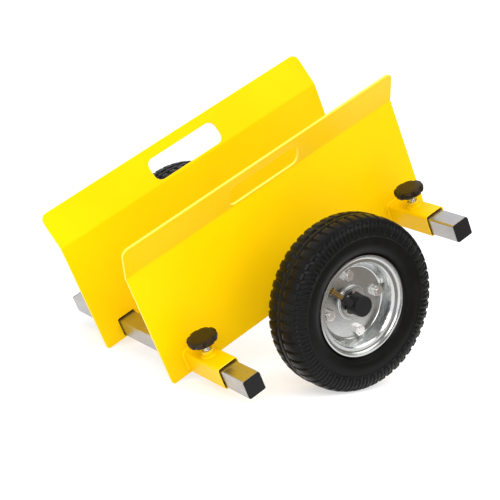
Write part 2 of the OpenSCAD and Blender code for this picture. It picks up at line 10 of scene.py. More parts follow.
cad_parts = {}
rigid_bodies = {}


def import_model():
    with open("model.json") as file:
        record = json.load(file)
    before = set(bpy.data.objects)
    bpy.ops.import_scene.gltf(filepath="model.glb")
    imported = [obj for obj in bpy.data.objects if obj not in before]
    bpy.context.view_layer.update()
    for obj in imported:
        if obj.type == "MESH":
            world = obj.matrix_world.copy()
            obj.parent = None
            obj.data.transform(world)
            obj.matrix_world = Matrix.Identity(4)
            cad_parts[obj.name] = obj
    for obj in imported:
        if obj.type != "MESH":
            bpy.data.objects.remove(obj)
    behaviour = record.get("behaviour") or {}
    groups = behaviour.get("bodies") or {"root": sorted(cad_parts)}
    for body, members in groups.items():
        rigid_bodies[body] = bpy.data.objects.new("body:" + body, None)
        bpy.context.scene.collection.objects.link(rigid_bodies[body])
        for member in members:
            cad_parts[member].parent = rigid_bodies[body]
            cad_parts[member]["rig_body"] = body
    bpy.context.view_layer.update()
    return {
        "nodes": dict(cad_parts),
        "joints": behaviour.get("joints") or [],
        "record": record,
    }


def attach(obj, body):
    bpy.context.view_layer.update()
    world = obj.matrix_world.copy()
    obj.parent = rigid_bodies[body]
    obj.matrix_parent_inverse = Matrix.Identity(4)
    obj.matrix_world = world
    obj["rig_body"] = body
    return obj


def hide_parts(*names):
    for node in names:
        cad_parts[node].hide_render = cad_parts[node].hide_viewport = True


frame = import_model()
scene = bpy.context.scene

SIDES = ("near", "far")
ENDS = ("lower", "upper")
JOINTS = {joint["name"]: joint for joint in frame["joints"]}
SLOTS = {part["node"]: part["material_slot"] for part in frame["record"]["subparts"]}
FULL_TURN = 2 * math.pi

# Camera that was fitted to the photograph
CAMERA_PLACE = (-1.091374, -1.537373, 0.565526)
CAMERA_TARGET = (0.004108, -0.016097, 0.140927)
CAMERA_ROLL = math.radians(3.710)
CAMERA_LENS = 107.552
CAMERA_SENSOR = 36.0
CAMERA_REACH = 200

# Width of the rounding on the edges of the solids: the first key that the node's name holds counts
EDGES = {
    "side_plate": 0.0007,
    "sleeve": 0.0004,
    "clamp_nuts": 0.0008,
    "beam_cap": 0.0006,
    "beam": 0.0005,
    "axle_spacer": 0.0004,
    "axle_cap": 0.0004,
    "axle_nut": 0.0004,
    "axle_washer": 0.0003,
    "hub": 0.0006,
    "rim_outer": 0.0004,
    "rim_inner": 0.0004,
    "rim_bolts": 0.0008,
    "rim_nuts": 0.0010,
    "valve_stem": 0.0003,
    "valve_cap": 0.0004,
}
EDGE_SEGMENTS = 2
# Index of the second material of painted pieces, the paler paint with a painted highlight, which
# their edges have
EDGE_HIGHLIGHT_INDEX = 1
# Faces of the side plates that look less than this along Y are the sheet's cut edge
CUT_EDGE = 0.6
SHARP_ANGLE = math.radians(30)
FLAT_ANGLE = math.radians(0.5)
# Points nearer than this are merged in copies of the solids and in new skins
COPY_MERGE = 2e-6
SKIN_MERGE = 1e-7

# Tyre: radii from the axle and distances from the tyre's middle
TYRE_RADIUS = 0.110
TYRE_HALF_WIDTH = 0.029
FOOT_RADIUS = 0.065
FOOT_OFFSET = 0.0207
WAIST_SHARE = 0.378
WAIST_RADIUS = FOOT_RADIUS + WAIST_SHARE * (TYRE_RADIUS - FOOT_RADIUS)
CROWN_POWER = 4
TREAD_THICKNESS = 0.009
WALL_THICKNESS = 0.005
BEAD_POINTS = (
    (0.0634, 0.0207), (0.0618, 0.0182), (0.0593, 0.0166), (0.0570, 0.0162), (0.0558, 0.0162),
    (0.0533, 0.0137), (0.0533, 0.0122),
)
# Lugs of the tread with a lower rib between their rows, a comb of ribs, a step and two ring lines
LUG_DEPTH = 0.0024
CENTRE_RIB = 0.8
RIB_DEPTH = 0.0011
SIDE_STEP = 0.0006
RING_RISE = 0.0007
# Turn down the tyre's side in degrees: 90 at the crown, 0 at the widest place, -90 at the foot
CROWN_TURNS = (
    90, 89.5, 89, 88.6, 88, 85, 80, 74, 67, 60, 53, 47, 46, 44, 42, 36, 30, 24, 18, 13, 9, 7, 5.5,
    4.4, 3.9, 3.4, 2.9, 2.4, 1.6, 0.8, 0.2, 0,
)
SIDE_TURNS = (-5, -10, -16, -24, -34, -44, -54, -59, -61, -64, -72, -80, -90)
INSIDE_TURNS = (-90, -45, 0, 5, 15, 35, 60, 80, 90)
# Turns at which each of these starts, is whole, begins to end and is gone
LUG_TURNS = (44, 46, 88, 88.6)
COMB_TURNS = (3.9, 4.4, 42, 44)
STEP_TURNS = (-90, -80, 3.4, 3.9)
FOOT_RING_TURNS = (-64, -61, -59, -54)
SIDE_RING_TURNS = (2.4, 2.9, 3.4, 3.9)
# Turns between which the centre's rib rises, and the short ribs end
CENTRE_RIB_TURNS = (89, 89.5)
SHORT_RIB_TURNS = (5.5, 7)
# Steps along one pitch of the tread, close together at the edges of lugs and ribs
LUG_COUNT = 52
PITCH_STEPS = (
    0, 0.03, 0.06, 0.11, 0.25, 0.39, 0.44, 0.50, 0.56, 0.61, 0.65, 0.68, 0.78, 0.89, 0.94,
)
HALF_PITCH = 0.5
LUG_STEPS = (0, 0.03, 0.65, 0.68)
LONG_RIB_STEPS = (0.06, 0.11, 0.39, 0.44)
SHORT_RIB_STEPS = (0.56, 0.61, 0.89, 0.94)

# Clamp: heights are from the knob's underside, along the stud
KNOB_RADIUS = 0.0195
KNOB_HEIGHT = 0.0125
KNOB_BROW = 0.00825
KNOB_POWER = 5
KNOB_TURNS = (0, 1, 3, *np.linspace(6, 90, 15))
KNOB_SIDES = 160
KNOB_LOBES = 8
KNOB_BORE_GAP = 0.00005
KNOB_BORE_DEPTH = 0.00905
KNOB_BORE_CHAMFER = 0.0003
KNOB_UNDERSIDE = (
    (0.0086, 0), (0.0090, 0.0004), (0.0090, 0.0022), (0.0096, 0.0027), (0.0168, 0.0035),
    (0.0182, 0.0041), (0.0189, 0.0054),
)
FLUTE_RADIUS = 0.0026
FLUTE_PLACE = 0.0190
FLUTED_FROM = KNOB_RADIUS / 2
LOBE_SHARPNESS = 2500
STUD_RADIUS = 0.004
STUD_BOTTOM = -0.01955
STUD_TOP = 0.009
STUD_CHAMFER = 0.001
STUD_SIDES = 28
THREAD_PITCH = 0.00125
THREAD_DEPTH = 0.00065
THREAD_STEPS = 8
# The thread's ridge is a triangle made steeper by this and lowered by this share, with a flat crest
RIDGE_SLOPE = 1.5
RIDGE_DROP = 0.15
PLATE_EDGE = -0.046
SLEEVE_SIZE = 0.030
SLEEVE_LENGTH = 0.076
SLEEVE_CORNER = 0.0037
CLAMP_NUT_RADIUS = 0.0075

# Axle spacer, plate and hub: places are distances outward from the tyre's middle
SPACER_RADIUS = 0.011
PLATE_FROM_WHEEL = -0.0995
PLATE_SHEET = 0.003
HUB_RADIUS = 0.0205
DISC_FACE = 0.002

# Low weld over the axle's end, with the share and number of its waves round it and across it
AXLE_WELD_RADIUS = 0.0105
AXLE_WELD_RISE = 0.0009
AXLE_WELD_SIDES = 48
AXLE_WELD_RINGS = 16
ROUND_SHARE, ROUND_WAVES = 0.12, 9
ACROSS_SHARE, ACROSS_WAVES = 0.10, 14

# Other welds: how far the bead's middle stands off both faces, its radius and its ripples
WELD_STAND = 0.0005
SLEEVE_WELD = 0.0024
NUT_WELD = 0.0021
SPACER_WELD = 0.0019
HUB_WELD = 0.0016
WELD_STEP = 0.0004
WELD_SIDES = 12
RIPPLE_PITCH = 0.0023
RIPPLE_SHARE = 0.10
HUB_RIPPLE = 0.02
SLOW_SHARE, SLOW_WAVES = 0.5, 5
# Length of an open bead's taper and height of its ends over the plate's edge, in radii of the bead
WELD_TAPER = 1.5
WELD_START = 1.5
CORNER_STEPS = 9

# Noise in the finishes, with its waves in a metre and levels of detail, and depths of its bumps
PAINT_CLOUDS = (9, 4)
PAINT_SPECKS = (240, 3)
PAINT_PEEL = (620, 2)
PAINT_WAVES = (45, 2)
METAL_CLOUDS = (34, 5)
STREAK_DETAIL = 4
MOULD_CLOUDS = (22, 4)
MOULD_SPECKS = (90, 3)
GRIT_DETAIL = 3
NOISE_RANGE = (0.3, 0.7)
PEEL_DEPTH = 0.00005
WAVE_DEPTH = 0.00012
RING_DEPTH = 0.0000015
PAINT_GLOSS = 0.2
PAINT_GLOSS_TINT = (1, 0.8, 0.1, 1)
PAINT_ROUGHNESS = (0.30, 0.42)
EVEN = (1, 1, 1)
ALONG_BEAM = (1, 0.02, 1)
WHITE = (1, 1, 1, 1)

# Pale floor, and a table in its place that only reflections see. The table lacks a corner in front
# of the wheel, so that bright metal mirrors the dim room there
FLOOR_CORNERS = ((-40, -40), (40, -40), (40, 40), (-40, 40))
FLOOR_GREY = (0.5, 0.5, 0.5, 1)
FLOOR_ROUGHNESS = 0.9
FLOOR_GLOW = 0.56
TABLE_CORNERS = ((-3, -2), (0.05, -2), (0.05, -0.42), (3, -0.42), (3, 3), (-3, 3))
TABLE_LEVEL = 0.0002

# Soft light of the sky, with its shades from straight down at 0 to straight up at 1
SKY_STRENGTH = 1.22
SKY_SHADES = (
    (0.0, (0.25, 0.25, 0.25)),
    (0.45, (0.35, 0.35, 0.35)),
    (0.52, (0.75, 0.76, 0.78)),
    (1.0, (1.0, 1.0, 1.0)),
)
# The room that reflections see, with its shades from against its axis at 0 to along it at 1
ROOM_AXIS = (-0.35, 0.80, 0.48)
ROOM_SHADES = (
    (0.05, (0.28, 0.25, 0.22)),
    (0.35, (0.14, 0.13, 0.12)),
    (0.52, (0.10, 0.095, 0.09)),
    (0.62, (0.22, 0.21, 0.20)),
    (0.775, (0.62, 0.63, 0.64)),
    (0.925, (0.96, 0.97, 0.99)),
)
# A window in the room, with its shades by the cosine of the angle to its axis
WINDOW_AXIS = (-0.83, -0.53, 0.16)
WINDOW_SHADES = ((0.72, (0, 0, 0)), (0.90, (0.80, 0.81, 0.83)))
# Lamps: strength, place and course of their light
SUN_STRENGTH = 1.35
SUN_ANGLE = math.radians(50)
SUN_PLACE = (0, 0, 3)
SUN_COURSE = (-0.35, 0.55, -0.76)
SOFTBOX_POWER = 15
SOFTBOX_SIZE = 1.0
SOFTBOX_PLACE = (-1.10, -1.10, 0.95)
SOFTBOX_COURSE = (0.60, 0.66, -0.45)
# Sockets of a Mix node for colours, by number because its kinds share their names
MIX_FACTOR, MIX_FIRST, MIX_SECOND, MIX_RESULT = 0, 6, 7, 2


# Materials

def material(name, values):
    """A new material with these values on its shader's own sockets, its node tree and shader."""
    made = bpy.data.materials.new(name)
    made.use_nodes = True
    shader = made.node_tree.nodes["Principled BSDF"]
    for socket, value in values.items():
        shader.inputs[socket].default_value = value
    return made, made.node_tree, shader


def put(tree, socket, value):
    """Links the socket of another node to this one, or sets a value on it."""
    if isinstance(value, bpy.types.NodeSocket):
        tree.links.new(value, socket)
    else:
        socket.default_value = value


def add(tree, kind, **inputs):
    """A new node with its inputs linked or set. A space in an input's name is written as _."""
    made = tree.nodes.new(kind)
    for key, value in inputs.items():
        put(tree, made.inputs[key.replace("_", " ")], value)
    return made


def reckon(tree, kind, operation, *values):
    """The number that an operation on these sockets or values gives."""
    made = tree.nodes.new(kind)
    made.operation = operation
    for socket, value in zip(made.inputs, values):
        put(tree, socket, value)
    return made.outputs["Value"]


def mixed(tree, factor, first, second, blend="MIX"):
    """The first colour with the second blended over it by a factor."""
    made = tree.nodes.new("ShaderNodeMix")
    made.data_type = "RGBA"
    made.blend_type = blend
    for place, value in ((MIX_FACTOR, factor), (MIX_FIRST, first), (MIX_SECOND, second)):
        put(tree, made.inputs[place], value)
    return made.outputs[MIX_RESULT]


def grain(tree, scale, detail, stretch=EVEN):
    """Noise in the piece's own coordinates, with this many waves in a metre."""
    place = add(tree, "ShaderNodeTexCoord").outputs["Object"]
    mapped = add(tree, "ShaderNodeMapping", Vector=place, Scale=stretch).outputs["Vector"]
    return add(tree, "ShaderNodeTexNoise", Vector=mapped, Scale=scale, Detail=detail).outputs["Fac"]


def rings(tree, per_metre):
    """Waves along the radius from the wheels' axle, which runs along Y."""
    x, _, z = JOINTS["near_wheel_spin"]["pos_m"]
    place = add(tree, "ShaderNodeTexCoord").outputs["Object"]
    moved = add(tree, "ShaderNodeMapping", Vector=place, Location=(-x, 0, -z), Scale=(1, 0, 1))
    radius = reckon(tree, "ShaderNodeVectorMath", "LENGTH", moved.outputs["Vector"])
    turns = reckon(tree, "ShaderNodeMath", "MULTIPLY", radius, per_metre * FULL_TURN)
    return reckon(tree, "ShaderNodeMath", "SINE", turns)


def spread(tree, noise, low, high):
    """A number that goes from low to high with the noise."""
    start, stop = NOISE_RANGE
    return add(tree, "ShaderNodeMapRange", Value=noise, From_Min=start, From_Max=stop,
               To_Min=low, To_Max=high).outputs["Result"]


def unsigned(tree, value):
    """A number from -1 to 1 brought to between 0 and 1."""
    return add(tree, "ShaderNodeMapRange", Value=value, From_Min=-1.0,
               From_Max=1.0).outputs["Result"]


def shades(tree, factor, stops):
    """A colour that goes through these stops, each a place and a linear colour, with the factor."""
    ramp = add(tree, "ShaderNodeValToRGB", Fac=factor)
    elements = ramp.color_ramp.elements
    while len(elements) < len(stops):
        elements.new(0.5)
    for element, (place, colour) in zip(elements, stops):
        element.position = place
        element.color = (*colour, 1)
    return ramp.outputs["Color"]


def bump(tree, height, distance, under=None):
    """Normals of a surface that rises with height by up to this distance, on top of other bumps."""
    made = add(tree, "ShaderNodeBump", Height=height, Distance=distance, Strength=1.0)
    if under:
        put(tree, made.inputs["Normal"], under)
    return made.outputs["Normal"]


def paint(name, tones):
    """Powder coat with broad changes of shade, fine specks of gloss and an orange-peel skin."""
    made, tree, shader = material(
        name, {"Specular IOR Level": PAINT_GLOSS, "Specular Tint": PAINT_GLOSS_TINT})
    put(tree, shader.inputs["Base Color"], shades(tree, grain(tree, *PAINT_CLOUDS), tones))
    specks = spread(tree, grain(tree, *PAINT_SPECKS), *PAINT_ROUGHNESS)
    put(tree, shader.inputs["Roughness"], specks)
    peel = bump(tree, grain(tree, *PAINT_PEEL), PEEL_DEPTH)
    waves = bump(tree, grain(tree, *PAINT_WAVES), WAVE_DEPTH, under=peel)
    put(tree, shader.inputs["Normal"], waves)
    return made


def plated(name, tones, rough, streaks, depth, stretch=EVEN, ring_lines=0):
    """Bright metal: clouded tones, drawn streaks and, if asked, fine rings round the axle."""
    made, tree, shader = material(name, {"Metallic": 1.0})
    put(tree, shader.inputs["Base Color"], shades(tree, grain(tree, *METAL_CLOUDS), tones))
    drawn = grain(tree, streaks, STREAK_DETAIL, stretch)
    put(tree, shader.inputs["Roughness"], spread(tree, drawn, *rough))
    normal = bump(tree, drawn, depth)
    if ring_lines:
        normal = bump(tree, rings(tree, ring_lines), RING_DEPTH, under=normal)
    put(tree, shader.inputs["Normal"], normal)
    return made


def moulded(name, tones, rough, grit, depth, gloss):
    """Rubber or plastic: clouded dark tones, uneven gloss and a fine moulded grain."""
    made, tree, shader = material(name, {"Specular IOR Level": gloss})
    put(tree, shader.inputs["Base Color"], shades(tree, grain(tree, *MOULD_CLOUDS), tones))
    specks = spread(tree, grain(tree, *MOULD_SPECKS), *rough)
    put(tree, shader.inputs["Roughness"], specks)
    put(tree, shader.inputs["Normal"], bump(tree, grain(tree, grit, GRIT_DETAIL), depth))
    return made


FINISHES = {
    "yellow_paint": paint("yellow_paint", (
        (0.30, (0.80, 0.485, 0.0004)),
        (0.50, (0.82, 0.505, 0.0004)),
        (0.70, (0.83, 0.525, 0.0008)),
    )),
    "zinc_tube": plated("zinc_tube", (
        (0.30, (0.41, 0.40, 0.39)),
        (0.50, (0.47, 0.46, 0.45)),
        (0.70, (0.44, 0.44, 0.46)),
    ), rough=(0.24, 0.38), streaks=700, depth=0.00003, stretch=ALONG_BEAM),
    "zinc_rim": plated("zinc_rim", (
        (0.30, (0.50, 0.51, 0.50)),
        (0.50, (0.53, 0.54, 0.53)),
        (0.70, (0.51, 0.52, 0.53)),
    ), rough=(0.19, 0.26), streaks=60, depth=0.00003, ring_lines=1500),
    "zinc_fastener": plated("zinc_fastener", (
        (0.30, (0.72, 0.71, 0.69)),
        (0.55, (0.80, 0.79, 0.77)),
        (0.70, (0.75, 0.75, 0.76)),
    ), rough=(0.16, 0.24), streaks=900, depth=0.000006),
    "bearing_steel": plated("bearing_steel", (
        (0.30, (0.56, 0.57, 0.58)),
        (0.55, (0.66, 0.66, 0.66)),
        (0.70, (0.60, 0.60, 0.62)),
    ), rough=(0.14, 0.26), streaks=600, depth=0.000006),
    "brass": plated("brass", (
        (0.30, (0.10, 0.062, 0.020)),
        (0.55, (0.16, 0.102, 0.036)),
        (0.70, (0.13, 0.082, 0.028)),
    ), rough=(0.26, 0.40), streaks=800, depth=0.000008),
    "knob_plastic": moulded("knob_plastic", (
        (0.30, (0.017, 0.010, 0.003)),
        (0.60, (0.022, 0.013, 0.004)),
        (0.75, (0.028, 0.018, 0.007)),
    ), rough=(0.30, 0.44), grit=1500, depth=0.00003, gloss=0.2),
    "black_plastic": moulded("black_plastic", (
        (0.30, (0.009, 0.009, 0.009)),
        (0.60, (0.013, 0.012, 0.012)),
        (0.75, (0.017, 0.016, 0.016)),
    ), rough=(0.38, 0.52), grit=2200, depth=0.00004, gloss=0.12),
    "tyre": moulded("tyre", (
        (0.30, (0.0026, 0.0026, 0.0025)),
        (0.55, (0.0035, 0.0034, 0.0033)),
        (0.75, (0.0052, 0.0050, 0.0048)),
    ), rough=(0.28, 0.42), grit=1300, depth=0.00005, gloss=0.13),
    "tube_rubber": moulded("tube_rubber", (
        (0.30, (0.014, 0.014, 0.015)),
        (0.60, (0.020, 0.020, 0.021)),
        (0.75, (0.028, 0.027, 0.026)),
    ), rough=(0.42, 0.58), grit=900, depth=0.00003, gloss=0.2),
}
# Paler paint on the rounded and cut edges of the sheet steel: a painted highlight line along them,
# with slight wear
EDGE_HIGHLIGHT_PAINT = paint("yellow_paint_edge_highlight", (
    (0.30, (0.82, 0.590, 0.050)),
    (0.50, (0.86, 0.640, 0.080)),
    (0.70, (0.84, 0.620, 0.065)),
))


# Shapes

def skin(name, points, finish, close_rows=True, close_columns=False):
    """A smooth closed mesh over a grid of points, in which points that coincide are merged."""
    rows, columns = points.shape[:2]
    index = np.arange(rows * columns).reshape(rows, columns)
    after = np.roll(index, -1, axis=0)
    quads = np.stack(
        [index, after, np.roll(after, -1, axis=1), np.roll(index, -1, axis=1)], axis=-1)
    if not close_rows:
        quads = quads[:-1]
    if not close_columns:
        quads = quads[:, :-1]
    mesh = bpy.data.meshes.new(name)
    mesh.from_pydata(points.reshape(-1, 3).tolist(), [], quads.reshape(-1, 4).tolist())
    shape = bmesh.new()
    shape.from_mesh(mesh)
    bmesh.ops.remove_doubles(shape, verts=shape.verts, dist=SKIN_MERGE)
    bmesh.ops.recalc_face_normals(shape, faces=shape.faces)
    for face in shape.faces:
        face.smooth = True
    shape.to_mesh(mesh)
    shape.free()
    mesh.materials.append(FINISHES[finish])
    return mesh


def turned(angles, radius, height):
    """Grid of points round Z from their radii and heights, with a row for each angle."""
    angles = np.asarray(angles)[:, None]
    radius, height = np.broadcast_arrays(radius, height)
    return np.stack(
        [radius * np.cos(angles), radius * np.sin(angles), height + 0 * angles], axis=-1)


def circle_angles(count):
    """Angles of this many points, evenly round a circle."""
    return np.linspace(0, FULL_TURN, count, endpoint=False)


def piece(name, mesh, body, at=None, stands_for=None):
    """A new piece of the cart that moves with a body and, if a node is named, stands for it."""
    made = bpy.data.objects.new(name, mesh)
    made.matrix_world = at or Matrix.Identity(4)
    scene.collection.objects.link(made)
    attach(made, body)
    if stands_for:
        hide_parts(stands_for)
    return made


def dressed(node, width):
    """A piece with the shape of a node of the solids and rounded edges, which stands for it."""
    source = frame["nodes"][node]
    painted = SLOTS[node] == "yellow_paint"
    shape = bmesh.new()
    shape.from_mesh(source.data)
    bmesh.ops.remove_doubles(shape, verts=shape.verts, dist=COPY_MERGE)
    bmesh.ops.dissolve_limit(
        shape, angle_limit=FLAT_ANGLE, verts=shape.verts, edges=shape.edges)
    sharp = [edge for edge in shape.edges
             if len(edge.link_faces) == 2 and edge.calc_face_angle() > SHARP_ANGLE]
    bmesh.ops.bevel(
        shape, geom=sharp, offset=width, offset_type="OFFSET", segments=EDGE_SEGMENTS,
        profile=0.5, affect="EDGES", clamp_overlap=True, material=EDGE_HIGHLIGHT_INDEX if painted else -1)
    # Bevels of painted pieces and the side plates' cut edges get the paler edge paint, a painted
    # highlight line
    for face in shape.faces:
        face.smooth = True
        rounded = painted and face.material_index == EDGE_HIGHLIGHT_INDEX
        cut = "side_plate" in node and abs(face.normal.y) < CUT_EDGE
        face.material_index = EDGE_HIGHLIGHT_INDEX if rounded or cut else 0
    mesh = bpy.data.meshes.new(f"{node}_dressed")
    shape.to_mesh(mesh)
    shape.free()
    mesh.materials.append(FINISHES[SLOTS[node]])
    if painted:
        mesh.materials.append(EDGE_HIGHLIGHT_PAINT)
    made = piece(f"{node}_dressed", mesh, source["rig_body"], stands_for=node)
    made.modifiers.new("normals", "WEIGHTED_NORMAL").keep_sharp = False


def outward(joint):
    """Direction along Y from the cart's middle to a joint's side."""
    return Vector((0, math.copysign(1, JOINTS[joint]["pos_m"][1]), 0))


def joint_frame(joint, forward, up):
    """Frame at a joint: Z points forward, Y up, and X completes a right-handed set."""
    at = Matrix((up.cross(forward), up, forward)).transposed().to_4x4()
    at.translation = Vector(JOINTS[joint]["pos_m"])
    return at


def wheel_frame(side):
    """Frame at the wheel's middle: Z points outward along the axle, and Y up."""
    joint = f"{side}_wheel_spin"
    return joint_frame(joint, outward(joint), Vector((0, 0, 1)))


def clamp_frame(side, end):
    """Frame at a knob's underside: Z points up along the stud, and Y outward along the beam."""
    joint = f"{side}_{end}_knob_turn"
    return joint_frame(joint, Vector(JOINTS[joint]["axis"]).normalized(), outward(joint))


def plateau(values, edges):
    """1 between the two inner edges and 0 beyond the two outer ones, with slopes between them."""
    return np.interp(values, edges, (0, 1, 1, 0))


def tyre_section(turns, top, half_width, foot_offset):
    """Radius, offset and rise over the widest place of a section of the tyre at these turns."""
    bend = np.radians(np.abs(turns))
    crown = turns >= 0
    rise = np.where(crown, np.sin(bend) ** (2 / CROWN_POWER), -np.sin(bend))
    height = np.where(crown, top - WAIST_RADIUS, WAIST_RADIUS - FOOT_RADIUS)
    offset = np.where(crown, half_width * np.cos(bend) ** (2 / CROWN_POWER),
                      foot_offset + (half_width - foot_offset) * np.cos(bend))
    return WAIST_RADIUS + height * rise, offset, rise


def tyre_outside():
    """Radius and offset of the tyre's outside from crown to foot, with a row for each step."""
    turns = np.array(CROWN_TURNS + SIDE_TURNS, float)
    radius, offset, rise = tyre_section(
        turns, TYRE_RADIUS - LUG_DEPTH, TYRE_HALF_WIDTH, FOOT_OFFSET)
    along_r, along_w = np.gradient(radius), np.gradient(offset)
    length = np.hypot(along_r, along_w)
    normal_r, normal_w = along_w / length, -along_r / length
    step = np.array(PITCH_STEPS)[:, None]
    lug = plateau(step, LUG_STEPS) * plateau(turns, LUG_TURNS)
    lug = np.maximum(lug, CENTRE_RIB * np.interp(turns, CENTRE_RIB_TURNS, (0, 1)))
    gap = 1 - plateau(step, LONG_RIB_STEPS) - plateau(step, SHORT_RIB_STEPS)
    short = (step > HALF_PITCH) * np.interp(turns, SHORT_RIB_TURNS, (1, 0))
    comb = np.maximum(gap, short) * plateau(turns, COMB_TURNS)
    ring = plateau(turns, FOOT_RING_TURNS) + plateau(turns, SIDE_RING_TURNS)
    lift = RING_RISE * ring - RIB_DEPTH * comb - SIDE_STEP * plateau(turns, STEP_TURNS)
    radius = radius + LUG_DEPTH * lug * np.maximum(rise, 0) + lift * normal_r
    return radius, offset + lift * normal_w


def tyre_inside():
    """Radius and offset along the bead, up the tyre's inside to its crown and down again."""
    bead = np.array(BEAD_POINTS)
    radius, offset, _ = tyre_section(
        np.array(INSIDE_TURNS), TYRE_RADIUS - TREAD_THICKNESS,
        TYRE_HALF_WIDTH - WALL_THICKNESS, bead[-1, 1])
    radius = np.concatenate([bead[:, 0], radius])
    offset = np.concatenate([bead[:, 1], offset])
    return (np.concatenate([radius, radius[-2::-1]]),
            np.concatenate([offset, -offset[-2::-1]]))


def half_pitch_on(rows):
    """Rows of the tread, each taken from half a pitch further on."""
    steps = np.array(PITCH_STEPS)
    places = (steps + HALF_PITCH) % 1.0
    return np.array([np.interp(places, steps, column, period=1.0) for column in rows.T]).T


def tyre_mesh():
    """The tyre round Z: two staggered rows of lugs, combs of ribs and ring lines on its sides."""
    radius, offset = tyre_outside()
    hidden_r, hidden_w = (np.tile(line, (len(PITCH_STEPS), 1)) for line in tyre_inside())
    section_r = np.concatenate([radius, hidden_r, half_pitch_on(radius)[:, :0:-1]], axis=1)
    section_w = np.concatenate([offset, hidden_w, -half_pitch_on(offset)[:, :0:-1]], axis=1)
    pitches = np.arange(LUG_COUNT)[:, None] + np.array(PITCH_STEPS)
    angles = FULL_TURN / LUG_COUNT * pitches.ravel()
    points = turned(angles, np.tile(section_r, (LUG_COUNT, 1)), np.tile(section_w, (LUG_COUNT, 1)))
    return skin("tyre", points, "tyre", close_columns=True)


def knob_mesh():
    """The star knob round Z: a bore for the stud, a neck, rounded lobes and a flat top."""
    bore = STUD_RADIUS + KNOB_BORE_GAP
    under = [(0, KNOB_BORE_DEPTH), (bore, KNOB_BORE_DEPTH), (bore, KNOB_BORE_CHAMFER),
             (bore + KNOB_BORE_CHAMFER, 0), *KNOB_UNDERSIDE]
    bend = np.radians(KNOB_TURNS)
    dome_r = KNOB_RADIUS * np.cos(bend) ** (2 / KNOB_POWER)
    dome_z = KNOB_BROW + (KNOB_HEIGHT - KNOB_BROW) * np.sin(bend) ** (2 / KNOB_POWER)
    profile = np.array(under + list(zip(dome_r, dome_z)))
    angles = circle_angles(KNOB_SIDES)
    pitch = FULL_TURN / KNOB_LOBES
    off = angles % pitch - pitch / 2
    chord = FLUTE_RADIUS ** 2 - (FLUTE_PLACE * np.sin(off)) ** 2
    flute = FLUTE_PLACE * np.cos(off) - np.sqrt(np.maximum(chord, 0))
    reach = np.where(chord > 0, flute, 2 * KNOB_RADIUS)[:, None]
    radius = -np.logaddexp(-LOBE_SHARPNESS * profile[:, 0], -LOBE_SHARPNESS * reach)
    radius = radius / LOBE_SHARPNESS
    plain = profile[:, 0] < FLUTED_FROM
    radius[:, plain] = profile[plain, 0]
    return skin("star_knob", turned(angles, radius, profile[:, 1]), "knob_plastic")


def stud_mesh():
    """The clamp stud round Z with its screw thread."""
    height = np.arange(STUD_BOTTOM, STUD_TOP, THREAD_PITCH / THREAD_STEPS)
    angles = circle_angles(STUD_SIDES)
    phase = (height / THREAD_PITCH - angles[:, None] / FULL_TURN) % 1.0
    ridge = np.clip(RIDGE_SLOPE * (1 - np.abs(2 * phase - 1)) - RIDGE_DROP, 0, 1)
    radius = STUD_RADIUS - THREAD_DEPTH * (1 - ridge)
    radius = np.minimum(radius, STUD_RADIUS - STUD_CHAMFER + (height - STUD_BOTTOM))
    radius = np.pad(radius, ((0, 0), (1, 1)))
    height = np.pad(height, (1, 1), mode="edge")
    return skin("clamp_stud", turned(angles, radius, height), "zinc_fastener")


def axle_weld_mesh():
    """The low, uneven weld round Z that closes the axle's hole on the inside of the plate."""
    radius = np.append(np.linspace(0, AXLE_WELD_RADIUS, AXLE_WELD_RINGS), 0)
    angles = circle_angles(AXLE_WELD_SIDES)
    share = radius / AXLE_WELD_RADIUS
    rise = AXLE_WELD_RISE * np.sqrt(np.maximum(1 - share ** 2, 0))
    waves = ROUND_SHARE * share * np.sin(ROUND_WAVES * angles)[:, None]
    waves = waves + ACROSS_SHARE * np.cos(ACROSS_WAVES * share)
    height = PLATE_FROM_WHEEL - PLATE_SHEET - rise * (1 + waves)
    height[:, -1] = PLATE_FROM_WHEEL - PLATE_SHEET / 2
    return skin("axle_weld", turned(angles, radius, height), "yellow_paint")


def evenly(corners, step):
    """Points at even steps along a line through these corners."""
    corners = np.array(corners, float)
    lengths = np.linalg.norm(np.diff(corners, axis=0), axis=1)
    reached = np.concatenate([[0], np.cumsum(lengths)])
    places = np.linspace(0, reached[-1], round(reached[-1] / step))
    return np.stack([np.interp(places, reached, column) for column in corners.T], axis=-1)


def weld_mesh(name, path, normal, radius, closed=True, finish="yellow_paint", share=RIPPLE_SHARE):
    """A rippled weld bead along a flat path. An open bead tapers off at its ends."""
    if closed:
        along = np.roll(path, -1, axis=0) - np.roll(path, 1, axis=0)
    else:
        along = np.gradient(path, axis=0)
    along = along / np.linalg.norm(along, axis=1)[:, None]
    across = np.cross(along, normal)
    places = WELD_STEP * np.arange(len(path))
    ripples = places[-1] / RIPPLE_PITCH
    if closed:
        ripples = round(ripples)
    phase = FULL_TURN * np.arange(len(path)) / len(path)
    waves = np.sin(ripples * phase) + SLOW_SHARE * np.sin(SLOW_WAVES * phase)
    size = radius * (1 + share * waves)
    if not closed:
        from_end = np.minimum(places, places[-1] - places) / (WELD_TAPER * radius)
        size = size * np.sqrt(1 - (1 - np.minimum(from_end, 1)) ** 2)
    turn = circle_angles(WELD_SIDES)[None, :, None]
    spokes = np.cos(turn) * np.array(normal) + np.sin(turn) * across[:, None]
    points = path[:, None] + size[:, None, None] * spokes
    return skin(name, points, finish, close_rows=closed, close_columns=True)


def circle(radius, height):
    """Closed path of points round Z."""
    angles = circle_angles(round(FULL_TURN * radius / WELD_STEP))
    return turned(angles, [radius], [height])[:, 0]


